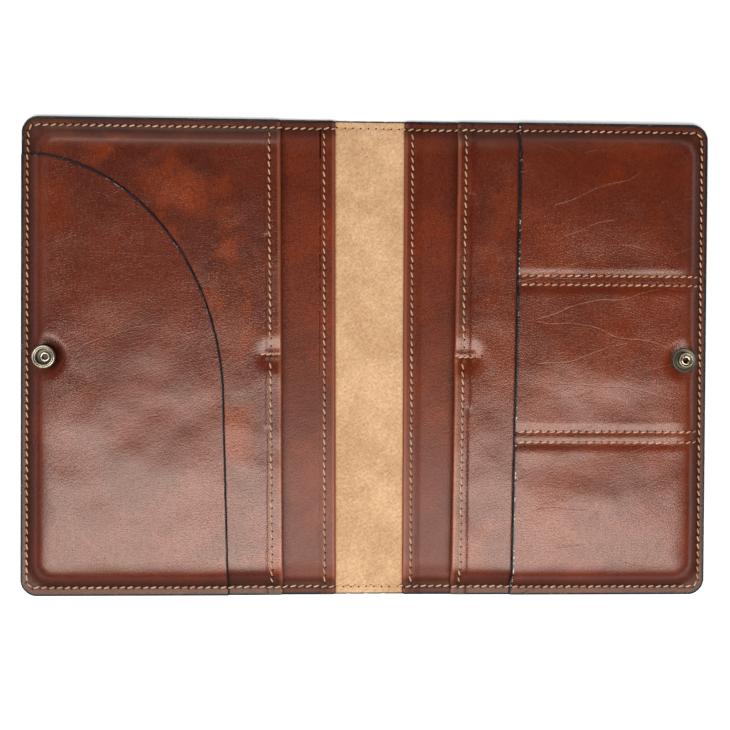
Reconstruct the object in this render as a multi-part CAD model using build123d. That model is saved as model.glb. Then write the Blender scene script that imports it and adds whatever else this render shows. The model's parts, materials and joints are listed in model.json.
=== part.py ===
"""A leather travel passport holder that folds like a book, modelled lying open and flat.

The outer cover is one hide whose flesh side shows at the spine. Each half carries a slip panel
lying on the cover, a passport panel raised over it by the thickness of a passport, and a top
panel: a document pocket with a quarter-oval mouth on the left, and three card pockets on the
right. A press snap joins the halves when the holder is shut.

Units are millimetres. X runs across the open holder, Y along the spine and Z up from the table.
The origin is on the table, at the middle of the fold. Every piece of a half is drawn on the
right, where x is the distance from the fold, and the left half's pieces are then mirrored.
"""

from build123d import *
from math import atan, cos, degrees, radians, sin, sqrt, tan
import os

# Driving sizes of the open holder
OPEN_WIDTH = 290.0
HEIGHT = 201.0
CORNER_RADIUS = 7.0

# Leather
COVER_THICKNESS = 1.3
PANEL_THICKNESS = 0.8

# Room inside the pockets, from surface to surface
PASSPORT_ROOM = 4.2
DOCUMENT_ROOM = 0.3
CARD_ROOM = 1.0

# Distance of each panel's free edge, its mouth, from the fold
LEFT_SLIP_MOUTH = 14.3
LEFT_PASSPORT_MOUTH = 36.9
DOCUMENT_MOUTH = 59.0
RIGHT_SLIP_MOUTH = 16.0
RIGHT_PASSPORT_MOUTH = 37.4
CARD_MOUTH = 62.4

# The document pocket's quarter-oval mouth
OVAL_CENTRE_Y = -20.0
OVAL_TOP_Y = 84.4

# Formed sides of the raised panels
HUMP_MARGIN = 4.9
HUMP_LEAN = degrees(atan(0.3))
HUMP_CORNER = 3.0
PAST_THE_MOUTH = 12.0

# Sewing
SEAM_INSET = 3.7
LEFT_HEM_INSET = 4.0
RIGHT_HEM_INSET = 2.7
THREAD_WIDTH = 0.6
THREAD_HEIGHT = 0.3
THREAD_END_GAP = 0.5
LEFT_DIVIDER_LENGTH = 9.5
RIGHT_DIVIDER_LENGTH = 12.5
DIVIDER_TROUGH_HALF_WIDTH = 1.2
DIVIDER_TROUGH_LEAN = 42.0
CARD_DIVIDER_Y = 33.1
CARD_DIVIDER_ROW_GAP = 4.2
CARD_LAND_WIDTH = 6.0

# Press snap
SNAP_INSET = 11.0
SOCKET_SEAT_Z = 6.7
STUD_SEAT_Z = 8.0
SNAP_GRIP = 4.4
POST_TUBE_RADIUS = 1.5
POST_BORE_RADIUS = 1.1
POST_FLANGE_RADIUS = 3.6
POST_FLANGE_THICKNESS = 0.4
POST_CLEARANCE = 0.1
POST_HEAD_RADIUS = 2.0
SEAT_CLEARANCE = 0.3
SOCKET_FOOT_RADIUS = 3.6
SOCKET_RADIUS = 4.85
SOCKET_HEIGHT = 3.6
SOCKET_WELL_RADIUS = 3.35
SOCKET_FLOOR = 0.5
SPRING_RADIUS = 3.78
SPRING_WIRE_RADIUS = 0.3
SPRING_GAP_DEGREES = 30.0
SPRING_DEPTH = 1.0
SPRING_GROOVE_HALF_HEIGHT = 0.4
SPRING_CLEARANCE = 0.05
STUD_RADIUS = 5.0
STUD_HEAD_RADIUS = 3.1
STUD_NECK_RADIUS = 2.85
STUD_HEIGHT = 3.2
STUD_FLANGE = 0.6
STUD_WELL_DEPTH = 0.8

# Spine, which bends at four lines as the holder shuts
SPINE_STRIPS = 3
HINGE_GAP_OUTSIDE = 0.05
HINGE_GAP_INSIDE = 0.34

# Levels and places that follow from the sizes above
HALF_WIDTH = OPEN_WIDTH / 2
HALF_HEIGHT = HEIGHT / 2
SLIP_Z = COVER_THICKNESS
PASSPORT_FLANGE_Z = SLIP_Z + PANEL_THICKNESS
PASSPORT_TOP_Z = PASSPORT_FLANGE_Z + PASSPORT_ROOM + PANEL_THICKNESS
OVERLAY_FLANGE_Z = PASSPORT_FLANGE_Z + PANEL_THICKNESS
DOCUMENT_TOP_Z = PASSPORT_TOP_Z + DOCUMENT_ROOM + PANEL_THICKNESS
CARD_LAND_Z = PASSPORT_TOP_Z + PANEL_THICKNESS
SNAP_X = HALF_WIDTH - SNAP_INSET
SHUT_THICKNESS = SOCKET_SEAT_Z + SNAP_GRIP + STUD_SEAT_Z
BEND_DEGREES = 180.0 / (SPINE_STRIPS + 1)
STRIP_WIDTH = (SHUT_THICKNESS - COVER_THICKNESS) / sum(
    sin(radians(BEND_DEGREES * n)) for n in range(1, SPINE_STRIPS + 1)
)
HALF_SPINE = SPINE_STRIPS * STRIP_WIDTH / 2
LEAN_RUN = tan(radians(HUMP_LEAN))
WALL_RUN = PANEL_THICKNESS / cos(radians(HUMP_LEAN))


def half_sheet(mouth, margin=0.0, corner=CORNER_RADIUS):
    """Flat outline of one half's sheet, from its mouth out to the sewn edges less a margin."""
    width = HALF_WIDTH - margin - mouth
    sheet = Pos(mouth + width / 2, 0) * Rectangle(width, HEIGHT - 2 * margin)
    outer_corners = sheet.vertices().group_by(Axis.X)[-1]
    return fillet(outer_corners, corner)


def document_sheet(clearance=0.0):
    """Flat outline of the document pocket, whose mouth rises straight and then as a quarter oval."""
    mouth = DOCUMENT_MOUTH - clearance
    top = OVAL_TOP_Y + clearance
    oval = Pos(HALF_WIDTH, OVAL_CENTRE_Y) * Ellipse(HALF_WIDTH - mouth, top - OVAL_CENTRE_Y)
    below = Pos((HALF_WIDTH + mouth) / 2, (OVAL_CENTRE_Y - HALF_HEIGHT) / 2) * Rectangle(
        HALF_WIDTH - mouth, HALF_HEIGHT + OVAL_CENTRE_Y
    )
    return (oval + below) & half_sheet(mouth)


def slab(sheet, low, high):
    """A flat sheet of leather between two levels."""
    return Pos(0, 0, low) * extrude(sheet, high - low)


def hump(mouth, low, high, margin, corner):
    """The solid under a formed panel's skin: sewn sides lean in, and it runs on past the mouth."""
    base = half_sheet(mouth - PAST_THE_MOUTH, margin, corner)
    return Pos(0, 0, low) * extrude(base, high - low, taper=HUMP_LEAN)


def dimple(radius, floor, top):
    """The space of a round 45 degree dimple about the snap, open upwards."""
    depth = top - floor + 1
    return Pos(SNAP_X, 0, floor) * Cone(
        radius, radius + depth, depth, align=(Align.CENTER, Align.CENTER, Align.MIN)
    )


def dimple_skin(radius, floor, top):
    """The same dimple one thickness of leather further out and down."""
    wider = radius + PANEL_THICKNESS * (sqrt(2) - 1)
    return dimple(wider, floor - PANEL_THICKNESS, top)


def divider_trough(mouth, length, half_width, floor, top):
    """The space of the short trough that divides two passport pockets at their mouth."""
    end = mouth + length + half_width
    length = length + half_width + PAST_THE_MOUTH
    middle = end - length / 2
    slot = Pos(middle, 0) * SlotOverall(length, 2 * half_width)
    return Pos(0, 0, floor) * extrude(slot, top - floor + 1, taper=-DIVIDER_TROUGH_LEAN)


def snap_hole(low, high):
    """The punched hole that a snap's post goes through."""
    hole = Cylinder(POST_TUBE_RADIUS + POST_CLEARANCE, high - low + 2)
    return Pos(SNAP_X, 0, (low + high) / 2) * hole


def seam_ring():
    """The line of the outer seam, as a thin flat ring open at the fold."""
    outside = half_sheet(HALF_SPINE, SEAM_INSET - THREAD_WIDTH / 2, CORNER_RADIUS - SEAM_INSET)
    inside = half_sheet(
        HALF_SPINE, SEAM_INSET + THREAD_WIDTH / 2, CORNER_RADIUS - SEAM_INSET - THREAD_WIDTH
    )
    return outside - inside


def beveled_bar(low_x, high_x, left_joint, right_joint):
    """A strip of cover, full height, with the hinge side or sides beveled so that it can bend."""
    left_gaps = (HINGE_GAP_OUTSIDE, HINGE_GAP_INSIDE) if left_joint else (0, 0)
    right_gaps = (HINGE_GAP_OUTSIDE, HINGE_GAP_INSIDE) if right_joint else (0, 0)
    section = Polyline(
        (low_x + left_gaps[0], 0),
        (high_x - right_gaps[0], 0),
        (high_x - right_gaps[1], COVER_THICKNESS),
        (low_x + left_gaps[1], COVER_THICKNESS),
        close=True,
    )
    face = Plane.XZ * make_face(section)
    return Pos(0, HALF_HEIGHT, 0) * extrude(face, HEIGHT)


# ---- Cover -------------------------------------------------------------------------------------


def cover_half():
    """Half of the outer cover, with the sunk channel of the outer seam on its outside."""
    bar = beveled_bar(HALF_SPINE, HALF_WIDTH, True, False)
    plate = bar & slab(half_sheet(0), 0, COVER_THICKNESS)
    return plate - slab(seam_ring(), 0, THREAD_HEIGHT)


def spine_seam_lines(low_x, high_x, low_z):
    """The two short lines of thread that cross a strip of the spine, one at each end."""
    lines = Sketch()
    for y in (-HALF_HEIGHT + SEAM_INSET, HALF_HEIGHT - SEAM_INSET):
        lines += Pos((low_x + high_x) / 2, y) * Rectangle(high_x - low_x, THREAD_WIDTH)
    return slab(lines, low_z, low_z + THREAD_HEIGHT)


def spine_strip(number):
    """One strip of the spine and its thread, numbered from the left."""
    low_x = -HALF_SPINE + STRIP_WIDTH * (number - 1)
    high_x = low_x + STRIP_WIDTH
    outside = spine_seam_lines(low_x + HINGE_GAP_INSIDE, high_x - HINGE_GAP_INSIDE, 0)
    strip = beveled_bar(low_x, high_x, True, True) - outside
    inside = spine_seam_lines(
        low_x + 2 * HINGE_GAP_INSIDE, high_x - 2 * HINGE_GAP_INSIDE, COVER_THICKNESS
    )
    return strip, Compound(children=list(outside.solids()) + list(inside.solids()))


# ---- Panels ------------------------------------------------------------------------------------


def slip_panel(mouth):
    """The lowest panel, which lies flat on the cover and makes a slip pocket with it."""
    return slab(half_sheet(mouth), SLIP_Z, SLIP_Z + PANEL_THICKNESS)


def passport_panel(mouth, divider_length, dimple_radius, dimple_floor):
    """The panel over two passports: raised on steep sides, tied down between the two mouths."""
    low, top = PASSPORT_FLANGE_Z, PASSPORT_TOP_Z
    room_top = top - PANEL_THICKNESS
    skin = hump(mouth, low, top, HUMP_MARGIN, HUMP_CORNER)
    skin -= dimple(dimple_radius, dimple_floor, top)
    skin -= divider_trough(
        mouth, divider_length, DIVIDER_TROUGH_HALF_WIDTH, low + PANEL_THICKNESS, top
    )
    room = hump(mouth, low, room_top, HUMP_MARGIN + WALL_RUN, HUMP_CORNER - WALL_RUN)
    room -= dimple_skin(dimple_radius, dimple_floor, top)
    trough_wall = PANEL_THICKNESS / cos(radians(DIVIDER_TROUGH_LEAN))
    trough_lean_run = PANEL_THICKNESS * tan(radians(DIVIDER_TROUGH_LEAN))
    room_half_width = DIVIDER_TROUGH_HALF_WIDTH + trough_wall - trough_lean_run
    room -= divider_trough(mouth, divider_length, room_half_width, low, top)
    border = slab(half_sheet(mouth), low, low + PANEL_THICKNESS)
    outline = slab(half_sheet(mouth), low, top)
    return (border + skin - room) & outline


def overlay(sheet, mouth, top, seat, seat_radius, pillows=()):
    """A top panel, which follows the passport panel's sides a small gap outside them."""
    low = OVERLAY_FLANGE_Z
    skin_run = (low - PASSPORT_FLANGE_Z) * LEAN_RUN
    inner_margin = HUMP_MARGIN + skin_run - DOCUMENT_ROOM / cos(radians(HUMP_LEAN))
    outer_margin = inner_margin - WALL_RUN
    skin = hump(mouth, low, top, outer_margin, HUMP_CORNER + WALL_RUN)
    room = hump(mouth, low, top - PANEL_THICKNESS, inner_margin, HUMP_CORNER)
    for skin_pillow, room_pillow in pillows:
        skin += skin_pillow
        room += room_pillow
    highest = skin.bounding_box().max.Z
    skin -= dimple(seat_radius, seat, highest)
    room -= dimple_skin(seat_radius, seat, highest)
    border = slab(sheet, low, low + PANEL_THICKNESS)
    outline = slab(sheet, low, highest)
    return ((border + skin - room) & outline) - snap_hole(low, highest)


def card_pillow(low_y, high_y):
    """The raised part of one card pocket: its outside, and the room for the cards under it."""
    side = HUMP_MARGIN + (CARD_LAND_Z - PASSPORT_FLANGE_Z) * LEAN_RUN - WALL_RUN
    low_x = CARD_MOUTH - PAST_THE_MOUTH
    high_x = HALF_WIDTH - side
    middle = Pos((low_x + high_x) / 2, (low_y + high_y) / 2)
    outside = middle * Rectangle(high_x - low_x, high_y - low_y)
    inside = middle * Rectangle(high_x - low_x - 2 * WALL_RUN, high_y - low_y - 2 * WALL_RUN)
    skin = Pos(0, 0, CARD_LAND_Z) * extrude(outside, CARD_ROOM, taper=HUMP_LEAN)
    room_low = CARD_LAND_Z - PANEL_THICKNESS
    return skin, Pos(0, 0, room_low) * extrude(inside, CARD_ROOM, taper=HUMP_LEAN)


def card_panel():
    """Three card pockets in one panel, parted by two sewn lands that lie on the passport panel."""
    side = HUMP_MARGIN + (CARD_LAND_Z - PASSPORT_FLANGE_Z) * LEAN_RUN - WALL_RUN
    edge = HALF_HEIGHT - side
    land = CARD_LAND_WIDTH / 2
    spans = [
        (-edge, -CARD_DIVIDER_Y - land),
        (-CARD_DIVIDER_Y + land, CARD_DIVIDER_Y - land),
        (CARD_DIVIDER_Y + land, edge),
    ]
    return overlay(
        half_sheet(CARD_MOUTH),
        CARD_MOUTH,
        CARD_LAND_Z,
        STUD_SEAT_Z,
        STUD_RADIUS + SEAT_CLEARANCE,
        [card_pillow(low, high) for low, high in spans],
    )


# ---- Thread ------------------------------------------------------------------------------------


def outer_seam(steps):
    """Thread of the outer seam: sunk in the cover outside, and on top of each step of the panels."""
    ring = seam_ring()
    runs = list(slab(ring, 0, THREAD_HEIGHT).solids())
    for sheet, covered, level in steps:
        run = ring & sheet
        if covered is not None:
            run = run - covered
        runs += slab(run, level, level + THREAD_HEIGHT).solids()
    return Compound(children=runs)


def slip_hem_thread(x):
    """Thread along a slip panel's turned free edge."""
    line = Pos(x, 0) * Rectangle(THREAD_WIDTH, HEIGHT - 2 * (SEAM_INSET + THREAD_END_GAP))
    return slab(line, PASSPORT_FLANGE_Z, PASSPORT_FLANGE_Z + THREAD_HEIGHT)


def passport_hem_thread(x):
    """Thread along a passport panel's turned free edge, parted by the divider's trough."""
    start = DIVIDER_TROUGH_HALF_WIDTH + PASSPORT_ROOM * tan(radians(DIVIDER_TROUGH_LEAN))
    start += THREAD_END_GAP
    end = HALF_HEIGHT - HUMP_MARGIN - PASSPORT_ROOM * LEAN_RUN - THREAD_END_GAP
    runs = []
    for side in (-1, 1):
        line = Pos(x, side * (start + end) / 2) * Rectangle(THREAD_WIDTH, end - start)
        runs += slab(line, PASSPORT_TOP_Z, PASSPORT_TOP_Z + THREAD_HEIGHT).solids()
    return Compound(children=runs)


def divider_thread(mouth, length):
    """Thread that ties the passport panel down between the two passports, on the trough's floor."""
    level = PASSPORT_FLANGE_Z + PANEL_THICKNESS
    line = Pos(mouth + THREAD_END_GAP + length / 2, 0) * Rectangle(length, THREAD_WIDTH)
    return slab(line, level, level + THREAD_HEIGHT)


def card_divider_thread(centre_y):
    """The double row of thread between two card pockets."""
    low_x = CARD_MOUTH + THREAD_END_GAP
    high_x = HALF_WIDTH - HUMP_MARGIN - (CARD_LAND_Z - PASSPORT_FLANGE_Z) * LEAN_RUN
    rows = []
    for y in (centre_y - CARD_DIVIDER_ROW_GAP / 2, centre_y + CARD_DIVIDER_ROW_GAP / 2):
        row = Pos((low_x + high_x) / 2, y) * Rectangle(high_x - low_x, THREAD_WIDTH)
        rows += slab(row, CARD_LAND_Z, CARD_LAND_Z + THREAD_HEIGHT).solids()
    return Compound(children=rows)


# ---- Press snap --------------------------------------------------------------------------------


def turned(points, seat):
    """A turned piece about the snap's axis, from its section as radius and height above the seat."""
    face = Plane.XZ * make_face(Polyline(*points, close=True))
    return Pos(SNAP_X, 0, seat) * revolve(face, Axis.Z)


def socket_body(seat):
    """The socket: a foot, a deep well, an inside groove for the spring and a double rim."""
    foot, wall, well = SOCKET_FOOT_RADIUS, SOCKET_RADIUS, SOCKET_WELL_RADIUS
    groove = SPRING_RADIUS + SPRING_WIRE_RADIUS + SPRING_CLEARANCE
    groove_top = SOCKET_HEIGHT - SPRING_DEPTH + SPRING_GROOVE_HALF_HEIGHT
    groove_floor = SOCKET_HEIGHT - SPRING_DEPTH - SPRING_GROOVE_HALF_HEIGHT
    height = SOCKET_HEIGHT
    return turned(
        [
            (POST_TUBE_RADIUS + POST_CLEARANCE, 0),
            (foot, 0),
            (foot, 0.6),
            (wall, 1.2),
            (wall, height - 0.4),
            (wall - 0.25, height),
            (wall - 0.5, height),
            (wall - 0.65, height - 0.3),
            (wall - 0.8, height - 0.1),
            (well + 0.25, height - 0.1),
            (well, height - 0.3),
            (well, groove_top),
            (groove, groove_top),
            (groove, groove_floor),
            (well, groove_floor),
            (well, SOCKET_FLOOR),
            (POST_TUBE_RADIUS + POST_CLEARANCE, SOCKET_FLOOR),
        ],
        seat,
    )


def socket_spring(seat):
    """The split wire ring that grips the stud, sitting in the socket's groove."""
    wire = Plane.XZ * (Pos(SPRING_RADIUS, SOCKET_HEIGHT - SPRING_DEPTH) * Circle(SPRING_WIRE_RADIUS))
    return Pos(SNAP_X, 0, seat) * revolve(wire, Axis.Z, 360 - SPRING_GAP_DEGREES)


def snap_post(seat, base):
    """The tubular post: a flange under the leather, and a head rolled over on the snap's floor."""
    under = -PANEL_THICKNESS
    tube, bore = POST_TUBE_RADIUS, POST_BORE_RADIUS
    return turned(
        [
            (bore, under - POST_FLANGE_THICKNESS),
            (POST_FLANGE_RADIUS, under - POST_FLANGE_THICKNESS),
            (POST_FLANGE_RADIUS, under),
            (tube, under),
            (tube, base),
            (POST_HEAD_RADIUS, base),
            (POST_HEAD_RADIUS, base + 0.25),
            (POST_HEAD_RADIUS - 0.2, base + 0.45),
            (bore + 0.2, base + 0.45),
            (bore, base + 0.25),
        ],
        seat,
    )


def stud_body(seat):
    """The stud: a dished flange, a waisted neck, and a head with a well for the post's roll."""
    head, neck, height = STUD_HEAD_RADIUS, STUD_NECK_RADIUS, STUD_HEIGHT
    return turned(
        [
            (POST_TUBE_RADIUS + POST_CLEARANCE, 0),
            (STUD_RADIUS, 0),
            (STUD_RADIUS, STUD_FLANGE - 0.15),
            (STUD_RADIUS - 0.2, STUD_FLANGE),
            (STUD_RADIUS - 0.5, STUD_FLANGE),
            (neck + 0.9, STUD_FLANGE - 0.3),
            (neck + 0.1, STUD_FLANGE - 0.3),
            (neck, STUD_FLANGE - 0.1),
            (neck, 1.8),
            (head, 2.2),
            (head, height - 0.3),
            (head - 0.25, height),
            (head - 0.5, height),
            (head - 0.65, height - 0.2),
            (head - 0.65, height - STUD_WELL_DEPTH),
            (POST_TUBE_RADIUS + POST_CLEARANCE, height - STUD_WELL_DEPTH),
        ],
        seat,
    )


# ---- Assembly ----------------------------------------------------------------------------------


def left_nodes():
    """Pieces of the left half, drawn on the right and not yet mirrored."""
    slip = half_sheet(LEFT_SLIP_MOUTH)
    passport = half_sheet(LEFT_PASSPORT_MOUTH)
    post_room = SOCKET_SEAT_Z - PANEL_THICKNESS - POST_FLANGE_THICKNESS - POST_CLEARANCE
    seat_run = (PANEL_THICKNESS + DOCUMENT_ROOM) * sqrt(2)
    document_seat_radius = SOCKET_FOOT_RADIUS + SEAT_CLEARANCE
    nested_radius = document_seat_radius + seat_run - (SOCKET_SEAT_Z - post_room)
    return {
        "left_cover": cover_half(),
        "left_slip_panel": slip_panel(LEFT_SLIP_MOUTH),
        "left_passport_panel": passport_panel(
            LEFT_PASSPORT_MOUTH, LEFT_DIVIDER_LENGTH, nested_radius, post_room
        ),
        "document_pocket": overlay(
            document_sheet(), DOCUMENT_MOUTH, DOCUMENT_TOP_Z, SOCKET_SEAT_Z, document_seat_radius
        ),
        "left_outer_seam_thread": outer_seam(
            [
                (slip, half_sheet(LEFT_PASSPORT_MOUTH - THREAD_END_GAP), PASSPORT_FLANGE_Z),
                (passport, document_sheet(THREAD_END_GAP), OVERLAY_FLANGE_Z),
                (document_sheet(), None, OVERLAY_FLANGE_Z + PANEL_THICKNESS),
            ]
        ),
        "left_slip_hem_thread": slip_hem_thread(LEFT_SLIP_MOUTH + LEFT_HEM_INSET),
        "left_passport_hem_thread": passport_hem_thread(LEFT_PASSPORT_MOUTH + LEFT_HEM_INSET),
        "left_passport_divider_thread": divider_thread(LEFT_PASSPORT_MOUTH, LEFT_DIVIDER_LENGTH),
        "snap_socket_body": socket_body(SOCKET_SEAT_Z),
        "snap_socket_spring": socket_spring(SOCKET_SEAT_Z),
        "snap_socket_post": snap_post(SOCKET_SEAT_Z, SOCKET_FLOOR),
    }


def right_nodes():
    """Pieces of the right half."""
    slip = half_sheet(RIGHT_SLIP_MOUTH)
    passport = half_sheet(RIGHT_PASSPORT_MOUTH)
    card = half_sheet(CARD_MOUTH)
    post_room = STUD_SEAT_Z - PANEL_THICKNESS - POST_FLANGE_THICKNESS - POST_CLEARANCE
    return {
        "right_cover": cover_half(),
        "right_slip_panel": slip_panel(RIGHT_SLIP_MOUTH),
        "right_passport_panel": passport_panel(
            RIGHT_PASSPORT_MOUTH, RIGHT_DIVIDER_LENGTH, POST_FLANGE_RADIUS + SEAT_CLEARANCE, post_room
        ),
        "card_pocket_panel": card_panel(),
        "right_outer_seam_thread": outer_seam(
            [
                (slip, half_sheet(RIGHT_PASSPORT_MOUTH - THREAD_END_GAP), PASSPORT_FLANGE_Z),
                (passport, half_sheet(CARD_MOUTH - THREAD_END_GAP), OVERLAY_FLANGE_Z),
                (card, None, OVERLAY_FLANGE_Z + PANEL_THICKNESS),
            ]
        ),
        "right_slip_hem_thread": slip_hem_thread(RIGHT_SLIP_MOUTH + RIGHT_HEM_INSET),
        "right_passport_hem_thread": passport_hem_thread(RIGHT_PASSPORT_MOUTH + RIGHT_HEM_INSET),
        "right_passport_divider_thread": divider_thread(
            RIGHT_PASSPORT_MOUTH, RIGHT_DIVIDER_LENGTH
        ),
        "upper_card_divider_thread": card_divider_thread(CARD_DIVIDER_Y),
        "lower_card_divider_thread": card_divider_thread(-CARD_DIVIDER_Y),
        "snap_stud_body": stud_body(STUD_SEAT_Z),
        "snap_stud_post": snap_post(STUD_SEAT_Z, STUD_HEIGHT - STUD_WELL_DEPTH),
    }


def spine_nodes():
    """The spine's strips, each with its thread, from left to right."""
    nodes = {}
    for number in range(1, SPINE_STRIPS + 1):
        strip, thread = spine_strip(number)
        nodes[f"spine_strip_{number}"] = strip
        nodes[f"spine_seam_thread_{number}"] = thread
    return nodes


def main():
    os.makedirs("parts", exist_ok=True)
    nodes = {name: mirror(piece, Plane.YZ) for name, piece in left_nodes().items()}
    nodes.update(spine_nodes())
    nodes.update(right_nodes())
    for name, piece in nodes.items():
        export_step(piece, f"parts/{name}.step")
    print(f"strip width {STRIP_WIDTH:.3f}, hinges at {HALF_SPINE:.3f} and {STRIP_WIDTH / 2:.3f}")
    print(f"bend {BEND_DEGREES:.1f} degrees at each of {SPINE_STRIPS + 1} lines")
    print(f"shut thickness {SHUT_THICKNESS:.2f}, {len(nodes)} nodes")


main()
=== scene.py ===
"""Looks for the leather passport holder, lying open and flat on a white table.

Lengths are metres in the CAD's own frame: X runs across the open holder, Y along the fold and Z
up from the table. The left half has negative X and carries the document pocket, and the right
half carries the card pockets.
"""

import json
import math
import random

import bpy
import numpy as np
from mathutils import Matrix, Vector


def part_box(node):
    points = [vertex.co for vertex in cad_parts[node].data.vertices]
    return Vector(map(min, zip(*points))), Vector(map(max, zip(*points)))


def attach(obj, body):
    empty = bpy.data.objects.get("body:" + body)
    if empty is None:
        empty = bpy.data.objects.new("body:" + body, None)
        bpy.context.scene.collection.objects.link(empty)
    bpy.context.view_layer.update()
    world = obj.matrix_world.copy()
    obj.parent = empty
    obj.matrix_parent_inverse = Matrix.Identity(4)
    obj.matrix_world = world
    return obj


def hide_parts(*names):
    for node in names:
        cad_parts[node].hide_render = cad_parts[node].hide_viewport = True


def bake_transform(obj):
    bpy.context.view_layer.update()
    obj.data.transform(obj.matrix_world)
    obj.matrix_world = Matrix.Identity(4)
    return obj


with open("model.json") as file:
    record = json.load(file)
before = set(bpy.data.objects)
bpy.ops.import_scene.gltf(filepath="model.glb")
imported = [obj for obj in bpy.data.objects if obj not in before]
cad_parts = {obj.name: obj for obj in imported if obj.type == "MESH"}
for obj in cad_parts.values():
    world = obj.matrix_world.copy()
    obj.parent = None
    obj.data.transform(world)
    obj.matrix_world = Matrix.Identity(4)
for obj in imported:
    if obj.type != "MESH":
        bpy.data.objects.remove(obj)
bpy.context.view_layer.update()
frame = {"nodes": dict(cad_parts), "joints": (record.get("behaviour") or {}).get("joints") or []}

MM = 0.001
LEFT, RIGHT = -1, 1

# Outline and levels, taken from the CAD's own pieces
HALF_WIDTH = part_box("right_cover")[1].x
HALF_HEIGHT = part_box("right_cover")[1].y
COVER_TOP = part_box("right_cover")[1].z
SLIP_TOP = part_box("right_slip_panel")[1].z
PASSPORT_FLANGE_TOP = 2 * SLIP_TOP - COVER_TOP
PASSPORT_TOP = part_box("left_passport_panel")[1].z
OVERLAY_FLANGE_TOP = 2 * PASSPORT_FLANGE_TOP - SLIP_TOP
DOCUMENT_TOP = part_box("document_pocket")[1].z
CARD_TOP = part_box("card_pocket_panel")[1].z
SOCKET_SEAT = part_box("snap_socket_body")[0].z
STUD_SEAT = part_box("snap_stud_body")[0].z
SNAP_X = (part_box("snap_stud_body")[0].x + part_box("snap_stud_body")[1].x) / 2
STRIP_WIDTH = frame["joints"][1]["pos_m"][0] - frame["joints"][0]["pos_m"][0]
CORNER_RADIUS = 7.0 * MM

# Leather edges: each sheet is cut this far inside the outline, and its painted bead fills the rest
PANEL_THICKNESS = 0.75 * MM
PANEL_BEAD = 0.48 * MM
COVER_BEAD = 0.66 * MM

# Free edges: how far they lie from the fold at the holder's top and bottom
LEFT_SLIP_MOUTH = (14.9 * MM, 13.7 * MM)
LEFT_PASSPORT_MOUTH = (37.9 * MM, 35.8 * MM)
RIGHT_SLIP_MOUTH = (15.9 * MM, 16.1 * MM)
RIGHT_PASSPORT_MOUTH = (38.3 * MM, 36.4 * MM)
CARD_MOUTH = (63.7 * MM, 61.3 * MM)
DOCUMENT_MOUTH = (60.07 * MM, 57.1 * MM)
DOCUMENT_MOUTH_SPAN = (-15.6 * MM, -100.5 * MM)
OVAL_CENTRE_Y = -20.0 * MM
OVAL_HALF_WIDTH = 85.0 * MM
OVAL_HALF_HEIGHT = 104.8 * MM

# Turned hems
HEM_ROLL = 0.8 * MM
HEM_RETURN = 6.0 * MM
HEM_STRIP = 5.2 * MM
LEFT_HEM_INSET = 4.0 * MM
RIGHT_HEM_INSET = 2.7 * MM

# Formed shapes
CREASE_INSET = 3.9 * MM
PASSPORT_CREASE_INSET = 4.6 * MM
PILLOW_STEPS = ((0.88, 4.9 * MM, "LINEAR"), (0.12, 12.0 * MM, "SMOOTH"))
PILLOW_CORNER_RADIUS = 16.0 * MM
LEFT_DIVIDER_Y = 1.6 * MM
RIGHT_DIVIDER_Y = 0.9 * MM
LEFT_DIVIDER_LENGTH = 7.0 * MM
RIGHT_DIVIDER_LENGTH = 9.0 * MM
DIVIDER_PRESSES = ((0.34, 8.5 * MM), (0.26, 2.6 * MM))
UPPER_CARD_ROWS = (35.3 * MM, 31.5 * MM)
LOWER_CARD_ROWS = (-30.5 * MM, -34.9 * MM)
ROW_HALF_WIDTH = 0.45 * MM
ROW_PRESS = 0.5 * MM
ROW_REACH = 3.6 * MM
UNEVENNESS = 0.7 * MM
SETTLING_PASSES = 8

# Swelling of the filled pockets: lowest and highest corner of each top
DOCUMENT_SWELLING = ((-112 * MM, -60 * MM), (-85 * MM, 20 * MM))
CARD_SWELLINGS = (
    ((86 * MM, 60 * MM), (120 * MM, 68 * MM)),
    ((86 * MM, -4 * MM), (98 * MM, 4 * MM)),
    ((86 * MM, -69 * MM), (120 * MM, -61 * MM)),
)

# Seats of the snap: radius of the flat, and how far its slope reaches from above and from below
SEAT_RADIUS = 5.0 * MM
CARD_SEAT_RADIUS = 5.2 * MM
SEAT_REACH_ABOVE = 4.5 * MM
SEAT_REACH_BELOW = 2.4 * MM
PASSPORT_SEAT_DROP = 1.4 * MM

# Sewing
SEAM_INSET = 3.7 * MM
SIDE_SEAM_SHIFT = 0.9 * MM
STITCH_PITCH = 3.25 * MM
STITCH_LENGTH = 2.85 * MM
STITCH_WIDTH = 0.70 * MM
STITCH_HEIGHT = 0.52 * MM
STITCH_SLANT = math.radians(17)
LEFT_DIVIDER_SEWN = 7.0 * MM
RIGHT_DIVIDER_SEWN = 9.5 * MM
DIVIDER_GAP = 2.4 * MM

dice = random.Random(41)


# ---- Modelling helpers -------------------------------------------------------------------------


def make_active(obj):
    """Select one piece and nothing else."""
    bpy.ops.object.select_all(action="DESELECT")
    obj.select_set(True)
    bpy.context.view_layer.objects.active = obj


def middles(mesh, kind):
    """Middles of all vertices, edges or faces of a mesh, as three arrays."""
    points = np.empty(len(mesh.vertices) * 3)
    mesh.vertices.foreach_get("co", points)
    points = points.reshape(-1, 3)
    if kind == "EDGE":
        ends = np.empty(len(mesh.edges) * 2, dtype=int)
        mesh.edges.foreach_get("vertices", ends)
        points = points[ends.reshape(-1, 2)].mean(axis=1)
    if kind == "FACE":
        points = np.empty(len(mesh.polygons) * 3)
        mesh.polygons.foreach_get("center", points)
        points = points.reshape(-1, 3)
    return points.T


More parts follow.
